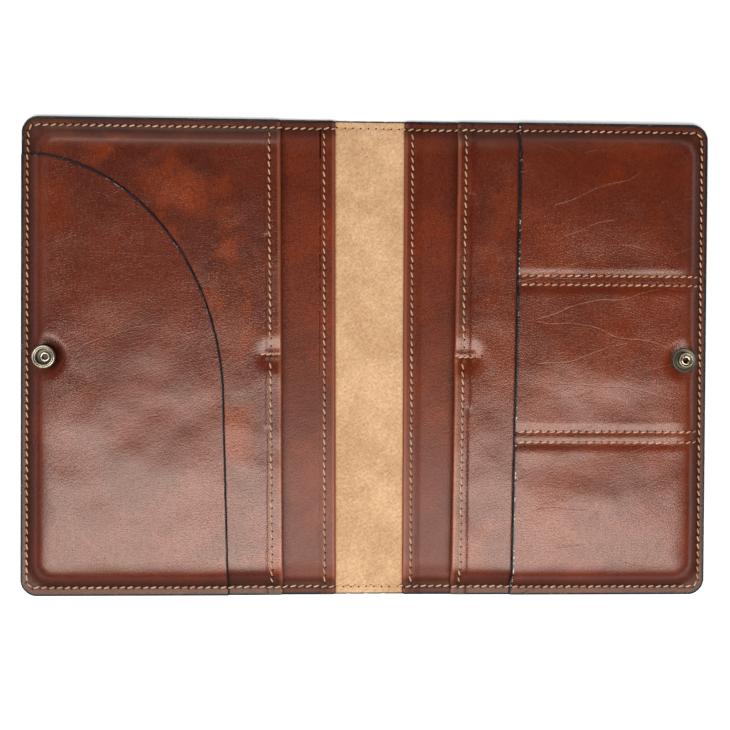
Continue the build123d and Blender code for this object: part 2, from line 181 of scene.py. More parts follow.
def pick(obj, kind, test, rim=False):
    """Select what passes the test by its place, from the whole mesh or only its open rim."""
    make_active(obj)
    bpy.ops.object.mode_set(mode="EDIT")
    bpy.ops.mesh.select_mode(type=kind)
    bpy.ops.mesh.select_all(action="DESELECT")
    if rim:
        bpy.ops.mesh.select_non_manifold(
            use_wire=False, use_multi_face=False, use_non_contiguous=False, use_verts=False
        )
    bpy.ops.object.mode_set(mode="OBJECT")
    flags = test(*middles(obj.data, kind))
    items = {"VERT": obj.data.vertices, "EDGE": obj.data.edges, "FACE": obj.data.polygons}[kind]
    if rim:
        on_rim = np.empty(len(items), dtype=bool)
        items.foreach_get("select", on_rim)
        flags = flags & on_rim
        bpy.ops.object.mode_set(mode="EDIT")
        bpy.ops.mesh.select_all(action="DESELECT")
        bpy.ops.object.mode_set(mode="OBJECT")
    items.foreach_set("select", flags)
    bpy.ops.object.mode_set(mode="EDIT")


def everywhere(x, y, z):
    """The test that every place passes."""
    return np.full(len(x), True)


def leave_edit():
    """Go back to object mode."""
    bpy.ops.object.mode_set(mode="OBJECT")


def press(obj, test, move, reach=0.0, falloff="SMOOTH"):
    """Move leather up or down where the test holds, and softly around it within the reach."""
    pick(obj, "VERT", test)
    if reach:
        bpy.ops.transform.translate(
            value=(0, 0, move),
            use_proportional_edit=True,
            proportional_edit_falloff=falloff,
            proportional_size=reach,
        )
    else:
        bpy.ops.transform.translate(value=(0, 0, move))
    leave_edit()


def cut(obj, test, point, normal):
    """Cut away what lies beyond a plane, among the faces that pass the test."""
    pick(obj, "FACE", test)
    bpy.ops.mesh.bisect(plane_co=point, plane_no=normal, clear_outer=True)
    leave_edit()


def apply_modifier(obj, kind, **settings):
    """Add a modifier with its settings and apply it at once."""
    make_active(obj)
    bpy.ops.object.modifier_add(type=kind)
    modifier = obj.modifiers[-1]
    for key, value in settings.items():
        setattr(modifier, key, value)
    bpy.ops.object.modifier_apply(modifier=modifier.name)


def join(name, pieces):
    """Make one named piece of several, with its place in its mesh."""
    bpy.ops.object.select_all(action="DESELECT")
    for piece in pieces:
        piece.select_set(True)
    bpy.context.view_layer.objects.active = pieces[0]
    if len(pieces) > 1:
        bpy.ops.object.join()
    bpy.ops.object.transform_apply(location=True, rotation=True, scale=True)
    pieces[0].name = name
    return pieces[0]


def smooth(obj, degrees=40):
    """Shade smooth, except over edges sharper than an angle."""
    make_active(obj)
    bpy.ops.object.shade_smooth_by_angle(angle=math.radians(degrees))


def outline_inset(x, y, radius=CORNER_RADIUS, wider=0.0):
    """How far a place lies inside the holder's outline, or inside a rounder and wider one."""
    across = np.abs(x) - (HALF_WIDTH + wider - radius)
    along = np.abs(y) - (HALF_HEIGHT - radius)
    outside = np.hypot(np.maximum(across, 0), np.maximum(along, 0))
    return radius - outside - np.minimum(np.maximum(across, along), 0)


# ---- Sheets of leather -------------------------------------------------------------------------


def flat_sheet(name, low, high, level, cell):
    """A flat sheet between two corners, divided evenly."""
    width = high[0] - low[0]
    height = high[1] - low[1]
    bpy.ops.mesh.primitive_grid_add(
        x_subdivisions=round(width / cell[0]),
        y_subdivisions=round(height / cell[1]),
        size=1,
        location=((low[0] + high[0]) / 2, (low[1] + high[1]) / 2, level),
    )
    obj = bpy.context.object
    obj.name = name
    bpy.ops.transform.resize(value=(width, height, 1))
    bpy.ops.object.transform_apply(location=True, rotation=True, scale=True)
    return obj


def round_outer_corners(obj, side, bead):
    """Trim the two outer corners to the holder's radius with a dozen short cuts each."""
    radius = CORNER_RADIUS - bead
    steps = 12
    centre_x = side * (HALF_WIDTH - CORNER_RADIUS)
    for end in (-1, 1):
        centre = Vector((centre_x, end * (HALF_HEIGHT - CORNER_RADIUS), 0))
        for step in range(1, steps):
            angle = math.radians(90) * step / steps
            normal = Vector((side * math.cos(angle), end * math.sin(angle), 0))
            cut(
                obj,
                lambda x, y, z: (side * x > side * centre.x - MM) & (end * y > end * centre.y - MM),
                centre + radius * normal,
                normal,
            )


def half_sheet(name, side, mouth, level, cell, bead=PANEL_BEAD):
    """One half's sheet: its mouth leans a little, and its outer corners are round."""
    inner = min(mouth)
    outer = HALF_WIDTH - bead
    low_x, high_x = sorted((side * inner, side * outer))
    reach_y = HALF_HEIGHT - bead
    obj = flat_sheet(name, (low_x, -reach_y), (high_x, reach_y), level, (cell, cell))
    if mouth[0] != mouth[1]:
        lean = (mouth[0] - mouth[1]) / (2 * HALF_HEIGHT)
        cut(
            obj,
            lambda x, y, z: np.abs(x) < max(mouth) + 2 * cell,
            (side * sum(mouth) / 2, 0, level),
            Vector((-side, lean, 0)).normalized(),
        )
    round_outer_corners(obj, side, bead)
    return obj


def mouth_at(mouth, y):
    """Distance of a leaning mouth from the fold, at a place along the fold."""
    return (mouth[0] + mouth[1]) / 2 + (mouth[0] - mouth[1]) * y / (2 * HALF_HEIGHT)


def raise_pillow(obj, rise, crease):
    """Lift all but the sewn border: an even slope from the crease, then a soft shoulder."""
    for share, reach, falloff in PILLOW_STEPS:
        inner = crease + reach
        press(
            obj,
            lambda x, y, z: outline_inset(x, y, PILLOW_CORNER_RADIUS, SIDE_SEAM_SHIFT) > inner,
            share * rise,
            reach,
            falloff,
        )


def soften(obj, passes):
    """Even out the heights, as wet leather settles over what it is formed on."""
    pick(obj, "VERT", everywhere)
    bpy.ops.mesh.vertices_smooth(factor=0.5, repeat=passes, xaxis=False, yaxis=False)
    leave_edit()


def dome(obj, swelling, rise, reach):
    """Let a filled pocket swell a little round its middle."""
    low, high = swelling
    press(
        obj,
        lambda x, y, z: (x > low[0]) & (x < high[0]) & (y > low[1]) & (y < high[1]),
        rise,
        reach,
    )


def flatten_seat(obj, centre, radius):
    """Draw the leather to a flat seat for the snap, softly from above and briefly from below."""
    for lowest, reach in ((centre.z, SEAT_REACH_ABOVE), (0.0, SEAT_REACH_BELOW)):
        pick(obj, "VERT", lambda x, y, z: z < lowest)
        bpy.ops.mesh.hide()
        leave_edit()
        pick(
            obj,
            "VERT",
            lambda x, y, z: (np.hypot(x - centre.x, y - centre.y) < radius) & (z >= lowest),
        )
        bpy.ops.transform.resize(
            value=(1, 1, 0),
            center_override=centre,
            use_proportional_edit=True,
            proportional_edit_falloff="SMOOTH",
            proportional_size=reach,
        )
        bpy.ops.mesh.reveal(select=False)
        leave_edit()


def work_the_surface(obj, level):
    """Slight unevenness of hand formed leather, the same in panels that lie on each other."""
    pick(obj, "VERT", lambda x, y, z: z > level + 1.2 * MM)
    bpy.ops.object.vertex_group_assign_new()
    leave_edit()
    clouds = bpy.data.textures.get("uneven") or bpy.data.textures.new("uneven", "CLOUDS")
    clouds.noise_scale = 21 * MM
    clouds.noise_depth = 1
    apply_modifier(
        obj,
        "DISPLACE",
        texture=clouds,
        texture_coords="LOCAL",
        direction="Z",
        mid_level=0.5,
        strength=UNEVENNESS,
        vertex_group=obj.vertex_groups[-1].name,
    )
    obj.vertex_groups.clear()


def pinch(obj, side, mouth, y, length, depth):
    """Sew the passport panel down between its two passports."""
    end = mouth_at(mouth, y) + length
    for share, reach in DIVIDER_PRESSES:
        press(
            obj,
            lambda x, py, z: (np.abs(py - y) < 0.5 * MM) & (side * x < end - reach / 3),
            -share * depth,
            reach,
        )


def edge_bead(obj, test, radius, drop):
    """The painted edge: a round bead along the open rim, where the test holds."""
    pick(obj, "EDGE", test, rim=True)
    bpy.ops.mesh.duplicate()
    bpy.ops.mesh.separate(type="SELECTED")
    leave_edit()
    bead = [o for o in bpy.context.selected_objects if o != obj][0]
    make_active(bead)
    bpy.ops.transform.translate(value=(0, 0, -drop))
    bpy.ops.object.transform_apply(location=True, rotation=True, scale=True)
    bpy.ops.object.convert(target="CURVE")
    bead = bpy.context.object
    bead.data.bevel_depth = radius
    bead.data.bevel_resolution = 2
    bead.data.use_fill_caps = True
    bpy.ops.object.convert(target="MESH")
    bead = bpy.context.object
    paint(bead, edge_paint)
    smooth(bead, 60)
    return bead


def turn_hem(obj, side, mouth, strip_rise):
    """Turn the free edge under itself: a small roll, then a run back beneath the panel."""
    press(
        obj,
        lambda x, y, z: side * x < mouth_at(mouth, y) + HEM_STRIP,
        strip_rise,
        1.5 * MM,
    )
    pick(obj, "EDGE", lambda x, y, z: side * x < mouth_at(mouth, y) + 0.12 * MM, rim=True)
    steps = 6
    chord = 2 * HEM_ROLL * math.sin(math.radians(90) / steps)
    for step in range(steps):
        angle = math.radians(180) * (step + 0.5) / steps
        move = (-side * chord * math.cos(angle), 0, -chord * math.sin(angle))
        bpy.ops.mesh.extrude_region_move(TRANSFORM_OT_translate={"value": move})
    for _ in range(4):
        move = (side * HEM_RETURN / 4, 0, 0)
        bpy.ops.mesh.extrude_region_move(TRANSFORM_OT_translate={"value": move})
    leave_edit()


def thicken(obj, thickness, faces):
    """Give the sheet its thickness, with the flesh side below and painted edges."""
    for material in faces:
        obj.data.materials.append(material)
    apply_modifier(
        obj,
        "SOLIDIFY",
        thickness=thickness,
        offset=-1,
        use_even_offset=False,
        material_offset=1,
        material_offset_rim=2,
    )


def paint(obj, material):
    """Give the whole piece one finish."""
    obj.data.materials.clear()
    obj.data.materials.append(material)


# ---- Finishes ----------------------------------------------------------------------------------


class Value:
    """A number in a finish, so that plain arithmetic makes its nodes."""

    def __init__(self, finish, socket):
        self.finish = finish
        self.socket = socket

    def __add__(self, other):
        return self.finish.math("ADD", self, other)

    def __radd__(self, other):
        return self.finish.math("ADD", other, self)

    def __sub__(self, other):
        return self.finish.math("SUBTRACT", self, other)

    def __rsub__(self, other):
        return self.finish.math("SUBTRACT", other, self)

    def __mul__(self, other):
        return self.finish.math("MULTIPLY", self, other)

    def __rmul__(self, other):
        return self.finish.math("MULTIPLY", other, self)

    def __truediv__(self, other):
        return self.finish.math("DIVIDE", self, other)

    def __rtruediv__(self, other):
        return self.finish.math("DIVIDE", other, self)

    def __pow__(self, other):
        return self.finish.math("POWER", self, other)

    def __abs__(self):
        return self.finish.math("ABSOLUTE", self)


class Finish:
    """A material with one principled shader, whose places are read in millimetres."""

    def __init__(self, name, constants):
        self.material = bpy.data.materials.new(name)
        self.material.use_nodes = True
        self.tree = self.material.node_tree
        self.shader = next(n for n in self.tree.nodes if n.type == "BSDF_PRINCIPLED")
        for entry, value in constants.items():
            self.shader.inputs[entry].default_value = value

    def connect(self, entry, value):
        """Link a made value to a socket, or set the socket to a plain one."""
        if isinstance(value, Value):
            self.tree.links.new(value.socket, entry)
        else:
            entry.default_value = value

    def node(self, kind, settings, values, output=0):
        """Any node: its type, its settings, then the values of its sockets."""
        made = self.tree.nodes.new(kind)
        for key, value in settings.items():
            setattr(made, key, value)
        for key, value in values.items():
            self.connect(made.inputs[key], value)
        return Value(self, made.outputs[output])

    def math(self, operation, *values):
        """One sum on numbers."""
        numbers = dict(enumerate(values))
        return self.node("ShaderNodeMath", {"operation": operation}, numbers)

    def ramp(self, value, low, high):
        """Nought below low, one above high, and smooth between them."""
        settings = {"interpolation_type": "SMOOTHSTEP"}
        values = {"Value": value, "From Min": low, "From Max": high}
        return self.node("ShaderNodeMapRange", settings, values)

    def mix(self, share, first, second):
        """A share of the second colour over the first."""
        settings = {"data_type": "RGBA"}
        return self.node("ShaderNodeMix", settings, {0: share, 6: first, 7: second}, output=2)

    def tint(self, colour, factor):
        """A colour made lighter or darker."""
        both = {0: colour, 1: self.node("ShaderNodeCombineXYZ", {}, {0: factor, 1: factor, 2: factor})}
        return self.node("ShaderNodeVectorMath", {"operation": "MULTIPLY"}, both)

    def place(self, shift=(0, 0, 0), turn=0.0, stretch=(1, 1, 1), spread=None):
        """The place on the piece in millimetres: its own frame, or its flat pattern spread out."""
        if spread is None:
            output = 3
            measure = {"Scale": (1 / MM, 1 / MM, 1 / MM)}
        else:
            output = 2
            measure = {"Location": spread[0], "Scale": spread[1]}
        measure["Vector"] = self.node("ShaderNodeTexCoord", {}, {}, output=output)
        values = {
            "Vector": self.node("ShaderNodeMapping", {"vector_type": "POINT"}, measure),
            "Location": shift,
            "Rotation": (0, 0, math.radians(turn)),
            "Scale": [1 / factor for factor in stretch],
        }
        return self.node("ShaderNodeMapping", {"vector_type": "TEXTURE"}, values)

    def parts(self, place):
        """The three measures of a place."""
        return [self.node("ShaderNodeSeparateXYZ", {}, {0: place}, output=n) for n in range(3)]

    def noise(self, place, size, detail=2.0, rough=0.5, twist=0.0):
        """Uneven clouds of about this size in millimetres."""
        values = {
            "Vector": place,
            "Scale": 1 / size,
            "Detail": detail,
            "Roughness": rough,
            "Distortion": twist,
        }
        return self.node("ShaderNodeTexNoise", {}, values)

    def pebbles(self, place, size):
        """Height of small pebbles, with valleys between them."""
        settings = {"feature": "DISTANCE_TO_EDGE"}
        edge = self.node("ShaderNodeTexVoronoi", settings, {"Vector": place, "Scale": 1 / size})
        return self.ramp(edge, 0.0, 0.22)

    def lines(self, place, size, width, detail=1.0, twist=0.3):
        """Thin meandering lines, one on the line and nought away from it."""
        field = self.noise(place, size, detail, 0.5, twist)
        return 1 - self.ramp(abs(field - 0.5), 0.0, width)

    def creases(self, shift, turn, spacing, rarity):
        """Long creases that run side by side, wander a little and come and go."""
        place = self.place(shift=shift, turn=turn)
        _, across, _ = self.parts(place)
        field = across / spacing + self.noise(place, 48, 1.5) * 1.5
        line = groove(self, self.math("FRACT", field) - 0.5, 0.34 / spacing)
        along = self.place(shift=shift, turn=turn, stretch=(1, 2.5, 1))
        return line * self.ramp(self.noise(along, 30, 2.0), rarity - 0.06, rarity + 0.04)

    def colour(self, value):
        self.connect(self.shader.inputs["Base Color"], value)

    def rough(self, value):
        self.connect(self.shader.inputs["Roughness"], value)

    def relief(self, height):
        """A relief given in millimetres."""
        values = {"Height": height, "Strength": 1.0, "Distance": MM}
        bump = self.node("ShaderNodeBump", {}, values)
        self.connect(self.shader.inputs["Normal"], bump)


def inset_in_finish(finish, place, wider=0.0):
    """How far a place lies inside the holder's outline, in millimetres, as nodes."""
    x, y, _ = finish.parts(place)
    corner = CORNER_RADIUS / MM
    across = abs(x) - ((HALF_WIDTH + wider) / MM - corner)
    along = abs(y) - (HALF_HEIGHT / MM - corner)
    beyond_x = finish.math("MAXIMUM", across, 0.0)
    beyond_y = finish.math("MAXIMUM", along, 0.0)
    outside = (beyond_x * beyond_x + beyond_y * beyond_y) ** 0.5
    nearer = finish.math("MINIMUM", finish.math("MAXIMUM", across, along), 0.0)
    return corner - outside - nearer


def groove(finish, distance, width):
    """One in the middle of a sewn groove, fading to nought at its width."""
    return 1 - finish.ramp(abs(distance), 0.0, width)


# Colours of the grain side
DARK = (0.064, 0.0088, 0.0036, 1)
BROWN = (0.118, 0.0175, 0.0062, 1)
ORANGE = (0.195, 0.0300, 0.0055, 1)
BLACK = (0.006, 0.0055, 0.006, 1)
# Painted highlights: pale along the creases, and on the rolled edge of a hem
CREASE_HIGHLIGHT = (0.34, 0.15, 0.09, 1)
ROLL_HIGHLIGHT = (0.33, 0.10, 0.05, 1)
PALE_FIBRE = (0.62, 0.52, 0.44, 1)

# Middles of the painted shadow round the snap, in millimetres
SOCKET_SHADOW = (-132.8, 0.9)
STUD_SHADOW = (133.6, 0.3)


def from_card_mouth(finish, x, y):
    """Distance from the card panel's raw mouth, in millimetres, as nodes."""
    lean = (CARD_MOUTH[0] - CARD_MOUTH[1]) / (2 * HALF_HEIGHT)
    return x - (CARD_MOUTH[0] + CARD_MOUTH[1]) / 2 / MM - y * lean


def from_oval_mouth(finish, x, y):
    """Distance from the document pocket's raw mouth, in millimetres, as nodes."""
    upper, lower = DOCUMENT_MOUTH
    top, bottom = DOCUMENT_MOUTH_SPAN
    straight_part = x * -1 - upper / MM - (y - top / MM) * ((upper - lower) / (top - bottom))
    across = (x + HALF_WIDTH / MM) / (OVAL_HALF_WIDTH / MM)
    along = (y - OVAL_CENTRE_Y / MM) / (OVAL_HALF_HEIGHT / MM)
    oval_part = (1 - (across * across + along * along) ** 0.5) * (OVAL_HALF_WIDTH / MM)
    on_oval = finish.ramp(y, top / MM - 0.1, top / MM + 0.1)
    return straight_part * (1 - on_oval) + oval_part * on_oval


def crease_lines(finish, shift):
    """Two families of long creases, one steeper than the other."""
    steep = finish.creases(shift, 17, 16.0, 0.53)
    shallow = finish.creases(shift, -6, 19.0, 0.55)
    return finish.math("MAXIMUM", steep, shallow * 0.8)


def hem_marks(finish, own, hem):
    """The stitched groove of a turned hem, for its relief and painted shade, and the roll at its very
    edge, for a painted highlight.
    """
    side, mouth, inset_line = hem
    x, y, _ = finish.parts(own)
    lean = (mouth[0] - mouth[1]) / (2 * HALF_HEIGHT)
    from_mouth = side * x - (mouth[0] + mouth[1]) / 2 / MM - y * lean
    stitched = groove(finish, from_mouth - inset_line / MM, 1.2)
    roll_highlight = 1 - finish.ramp(from_mouth, 0.1, 1.1)
    return stitched, roll_highlight


def snap_shadow(finish, own, middle):
    """A painted shadow that the snap casts on the leather close round it."""
    x, y, _ = finish.parts(own)
    across = x - middle[0]
    along = y - middle[1]
    away = (across * across + along * along) ** 0.5
    return 0.35 + 0.65 * finish.ramp(away, 4.8, 7.4)


def black_border(finish, colour, place, own, raw_mouth):
    """Edge paint that runs a little over the border, with pale fibres along a raw mouth."""
    ragged = finish.noise(place, 2.0, 3.0) * 0.7 + 0.65
    edge = inset_in_finish(finish, own)
    if raw_mouth is None:
        return finish.mix(1 - finish.ramp(edge / ragged, 1.0, 1.7), colour, BLACK)
    x, y, _ = finish.parts(own)
    from_mouth = raw_mouth(finish, x, y)
    edge = finish.math("MINIMUM", edge, from_mouth + 0.5)
    colour = finish.mix(1 - finish.ramp(edge / ragged, 1.0, 1.7), colour, BLACK)
    tufts = finish.ramp(finish.noise(place, 1.0, 2.0), 0.56, 0.62)
    tufts = tufts * (1 - finish.ramp(from_mouth, 0.5, 0.9))
    tufts = tufts * finish.ramp(finish.noise(place, 16.0), 0.47, 0.53)
    return finish.mix(tufts * 0.85, colour, PALE_FIBRE)


def grain_leather(
    name,
    shift,
    mottle,
    warmth,
    creases=0.0,
    hem=None,
    raw_mouth=None,
    spread=None,
    shine=1.0,
    snap=None,
):
    """Glazed full grain leather, with dye that pools in darker and warmer clouds, and painted shade
    and highlights.
    """
    constants = {
        "Specular IOR Level": 0.5 * shine,
        "Specular Tint": (1.0, 0.73, 0.58, 1),
        "Coat Roughness": 0.22,
        "Coat Tint": (1.0, 0.90, 0.84, 1),
    }
    finish = Finish(name, constants)
    own = finish.place(spread=spread)
    place = finish.place(shift=shift, spread=spread)
    clouds = finish.ramp(finish.noise(place, 38, 3.0, 0.55, 0.8), 0.36, 0.62)
    pools = finish.ramp(finish.noise(place, 24, 3.0, 0.55, 0.35), 0.46, 0.68)
    drawn = finish.place(shift=shift, turn=35, stretch=(1, 2.2, 1), spread=spread)
    rolled = finish.place(shift=shift, turn=24, stretch=(1, 3.4, 1), spread=spread)
    fibres = finish.noise(drawn, 3.2, 5.0, 0.65)
    ripples = finish.noise(rolled, 4.2, 2.0, 0.5)
    grain = finish.pebbles(place, 1.05)
    fine = finish.noise(place, 0.55, 3.0, 0.6)
    colour = finish.mix(clouds * 0.45 + warmth, DARK, BROWN)
    colour = finish.mix(pools * mottle, colour, ORANGE)
    colour = finish.tint(colour, 0.30 + 0.42 * fibres + 0.34 * grain + 0.50 * fine)
    inset = inset_in_finish(finish, own, SIDE_SEAM_SHIFT)
    # The sewn groove of the outer seam: sunk in the relief, and darkened with painted shade
    seam = groove(finish, inset - SEAM_INSET / MM, 1.5)
    # Painted shade: a darker band where the pillow slopes down to its crease
    wear_and_shade = groove(finish, inset - CREASE_INSET / MM - 1.2, 3.8)
    height = grain * 0.030 + fine * 0.020 + finish.noise(place, 7.5, 2.5, 0.5) * 0.15
    height = height + ripples * 0.055 - seam * 0.16
    # Flat border outside the seam: rougher, less coated, and darkened with painted shade
    border = 1 - finish.ramp(inset, 3.3, 4.6)
    shade = 1 - seam * 0.25 - wear_and_shade * 0.56 - border * 0.22
    if creases:
        folds = crease_lines(finish, shift)
        height = height - folds * 0.06 * creases
        # Painted highlight: a pale line along each crease
        colour = finish.mix(folds * (0.04 + 0.18 * fine) * creases, colour, CREASE_HIGHLIGHT)
    if hem:
        stitched, roll_highlight = hem_marks(finish, own, hem)
        height = height - stitched * 0.14
        # Painted shade in the hem's stitched groove, and a painted highlight on its roll
        shade = shade - stitched * 0.25
        colour = finish.mix(roll_highlight * 0.4, colour, ROLL_HIGHLIGHT)
    if snap:
        # Painted shadow of the snap on the leather round it
        shade = shade * snap_shadow(finish, own, snap)
    colour = black_border(finish, finish.tint(colour, shade), place, own, raw_mouth)
    finish.colour(colour)
    shoulder = finish.ramp(inset, 4.0, 6.5) * (1 - finish.ramp(inset, 10.0, 15.0))
    wall = finish.ramp(inset, 3.4, 4.2) * (1 - finish.ramp(inset, 6.5, 9.0))
    gloss = finish.noise(place, 11, 3.0) * 0.12 + fine * 0.06 - pools * 0.03
    finish.rough(0.30 - 0.11 * shine + gloss + border * 0.16 + shoulder * 0.16 + wall * 0.20)
    coat = (0.26 - border * 0.20 - shoulder * 0.10 - wall * 0.16) * shine
    finish.connect(finish.shader.inputs["Coat Weight"], coat)
    finish.relief(height)
    return finish.material


def flesh_leather(name, spread=None):
    """The undyed flesh side: pale tan, matt and fibrous."""
    constants = {"Specular IOR Level": 0.25, "Sheen Weight": 0.25, "Sheen Roughness": 0.6}
    finish = Finish(name, constants)
    place = finish.place(spread=spread)
    along = finish.place(turn=28, stretch=(1, 3.0, 1), spread=spread)
    across = finish.place(turn=-50, stretch=(1, 3.5, 1), spread=spread)
    nap = finish.noise(place, 1.1, 4.0, 0.7)
    threads = finish.noise(along, 2.6, 4.0, 0.7) + finish.noise(across, 2.2, 4.0, 0.7)
    clouds = finish.noise(place, 30, 5.0, 0.72)
    streak = finish.lines(along, 5.0, 0.012, 3.0, 0.8) * finish.ramp(finish.noise(place, 7), 0.48, 0.6)
    paler = finish.ramp(clouds, 0.36, 0.64)
    colour = finish.mix(paler, (0.44, 0.252, 0.124, 1), (0.56, 0.345, 0.184, 1))
    colour = finish.mix(streak * 0.35, colour, (0.66, 0.45, 0.28, 1))
    finish.colour(finish.tint(colour, 0.85 * threads + 0.95 * nap - 0.32))
    finish.rough(0.92)
    finish.relief(threads * 0.10 + nap * 0.08 + streak * 0.05)
    return finish.material


def painted_edge():
    """Black edge paint with a few pale fibres showing through."""
    finish = Finish("edge_paint", {"Specular IOR Level": 0.2})
    place = finish.place()
    tufts = finish.ramp(finish.noise(place, 0.4, 3.0, 0.6), 0.56, 0.64)
    tufts = tufts * finish.ramp(finish.noise(place, 9.0, 2.0), 0.50, 0.58)
    finish.colour(finish.mix(tufts * 0.5, (0.005, 0.004, 0.005, 1), (0.36, 0.26, 0.20, 1)))
    finish.rough(0.5 + tufts * 0.4)
    finish.relief(finish.noise(place, 0.6, 3.0) * 0.10)
    return finish.material


def thread_finish():
    """Waxed thread, twisted and a little worn."""
    finish = Finish("waxed_thread", {"Specular IOR Level": 0.45})
    place = finish.place()
    twist = finish.noise(finish.place(turn=35, stretch=(1, 4, 4)), 0.5, 2.0)
    wear_and_shade = finish.noise(place, 6.0, 3.0)
    paler = finish.ramp(wear_and_shade, 0.35, 0.65)
    colour = finish.mix(paler, (0.40, 0.178, 0.085, 1), (0.60, 0.345, 0.200, 1))
    finish.colour(finish.tint(colour, 0.7 + 0.6 * twist))
    finish.rough(0.55)
    finish.relief(twist * 0.12)
    return finish.material


def hole_finish():
    """Painted shade: the dark inside of a needle hole, shown as a flat disc."""
    finish = Finish("needle_hole", {"Specular IOR Level": 0.1})
    finish.colour((0.022, 0.006, 0.004, 1))
    finish.rough(0.9)
    return finish.material


def metal(name, colour, dull, roughness, rubbed_above=None):
    """Old metal: rubbed bright above a level, and dull below it and in clouds of patina."""
    finish = Finish(name, {})
    place = finish.place()
    patina = finish.ramp(finish.noise(place, 1.4, 2.0, 0.5), 0.44, 0.70) * 0.25
    if rubbed_above:
        _, _, z = finish.parts(place)
        low = 1 - finish.ramp(z, rubbed_above / MM - 0.25, rubbed_above / MM + 0.15)
        patina = finish.math("MAXIMUM", patina, low * 0.9)
    finish.colour(finish.mix(patina, colour, dull))
    finish.rough(roughness + patina * 0.18)
    finish.connect(finish.shader.inputs["Metallic"], 1 - patina * 0.25)
    finish.relief(finish.noise(place, 0.5, 3.0) * 0.006)
    return finish.material


edge_paint = painted_edge()
thread = thread_finish()
needle_hole = hole_finish()
flesh = flesh_leather("flesh_side")
antique_brass = metal(
    "antique_brass",
    (0.43, 0.38, 0.28, 1),
    (0.055, 0.045, 0.030, 1),
    0.33,
    SOCKET_SEAT + 3.1 * MM,
)
dark_bronze = metal(
    "dark_bronze",
    (0.48, 0.40, 0.26, 1),
    (0.046, 0.046, 0.036, 1),
    0.30,
    STUD_SEAT + 2.7 * MM,
)
socket_post = metal(
    "socket_post",
    (0.40, 0.37, 0.30, 1),
    (0.03, 0.027, 0.02, 1),
    0.30,
    SOCKET_SEAT + 0.75 * MM,
)
stud_post = metal(
    "stud_post",
    (0.50, 0.42, 0.28, 1),
    (0.04, 0.035, 0.03, 1),
    0.22,
    STUD_SEAT + 2.6 * MM,
)
spring_steel = metal("spring_steel", (0.55, 0.53, 0.50, 1), (0.35, 0.34, 0.32, 1), 0.25)


# ---- Cover -------------------------------------------------------------------------------------

CUTS = (-HALF_WIDTH + COVER_BEAD, -STRIP_WIDTH, 0.0, STRIP_WIDTH, HALF_WIDTH - COVER_BEAD)
CHAIN = ("left_side", "spine_1", "spine_2", "spine_3", "right_side")
COVER_NODES = (
    ("left_cover",),
    ("spine_strip_1",),
    ("spine_strip_2", "spine_strip_3"),
    ("right_cover",),
)
SEAM_NODES = (
    ("left_outer_seam_thread",),
    ("spine_seam_thread_1",),
    ("spine_seam_thread_2", "spine_seam_thread_3"),
    ("right_outer_seam_thread",),
)


def bend_piece(obj, number, nodes):
    """Bake a piece's place into its mesh and hide the nodes it stands for."""
    CHAIN[number + 1]
    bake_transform(obj)
    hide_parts(*nodes)


def cover_piece(number):
    """One of the four lengths of the cover, flesh side up and grain side down."""
    low_x, high_x = CUTS[number], CUTS[number + 1]
    reach_y = HALF_HEIGHT - COVER_BEAD
    cell = (1.2 * MM, 1.6 * MM)
    name = "cover_%d" % (number + 1)
    obj = flat_sheet(name, (low_x, -reach_y), (high_x, reach_y), COVER_TOP, cell)
    if number in (0, 3):
        round_outer_corners(obj, LEFT if number == 0 else RIGHT, COVER_BEAD)
    bead = edge_bead(
        obj,
        lambda x, y, z: outline_inset(x, y) < 2 * MM,
        COVER_BEAD,
        COVER_TOP / 2,
    )
    corner = (low_x / MM, -reach_y / MM, 0)
    size = ((high_x - low_x) / MM, 2 * reach_y / MM, 1)
    spread = (corner, size)
    outside = grain_leather("cover_grain_%d" % (number + 1), (7, 3, 0), 0.4, 0.3, spread=spread)
    inside = flesh_leather("cover_flesh_%d" % (number + 1), spread=spread)
    thicken(obj, COVER_TOP, (inside, outside, edge_paint))
    smooth(obj)
    return join(name, [obj, bead])


cover = [cover_piece(number) for number in range(4)]


# ---- Panels ------------------------------------------------------------------------------------


def finish_panel(obj, bead, leather, side, node):
    """Thicken a shaped panel, join its painted edge and let it stand for its node."""
    thicken(obj, PANEL_THICKNESS, (leather, flesh, edge_paint))
    smooth(obj)
    obj = join(obj.name, [obj, bead])
    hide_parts(node)
    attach(obj, "left_side" if side == LEFT else "right_side")
    return obj


def slip_panel(name, side, mouth, leather):
    """The flat panel next to the cover, with a turned free edge."""
    obj = half_sheet(name, side, mouth, SLIP_TOP, 1.6 * MM)
    bead = edge_bead(obj, lambda x, y, z: outline_inset(x, y) < MM, PANEL_BEAD, PANEL_THICKNESS / 2)
    turn_hem(obj, side, mouth, 2 * HEM_ROLL - PANEL_THICKNESS)
    return finish_panel(obj, bead, leather, side, name)


def passport_panel(name, side, mouth, divider_y, divider_length, seat, leather):
    """The panel formed over two passports, pinched down between them at its mouth."""
    obj = half_sheet(name, side, mouth, PASSPORT_FLANGE_TOP, 0.85 * MM)
    rise = PASSPORT_TOP - PASSPORT_FLANGE_TOP
    raise_pillow(obj, rise, PASSPORT_CREASE_INSET)
    flatten_seat(obj, Vector((side * SNAP_X, 0, seat)), SEAT_RADIUS)
    soften(obj, SETTLING_PASSES)
    work_the_surface(obj, PASSPORT_FLANGE_TOP)
    pinch(obj, side, mouth, divider_y, divider_length, rise - 2 * HEM_ROLL + PANEL_THICKNESS)
    soften(obj, 3)
    bead = edge_bead(obj, lambda x, y, z: outline_inset(x, y) < MM, PANEL_BEAD, PANEL_THICKNESS / 2)
    turn_hem(obj, side, mouth, 0.55 * MM)
    return finish_panel(obj, bead, leather, side, name)


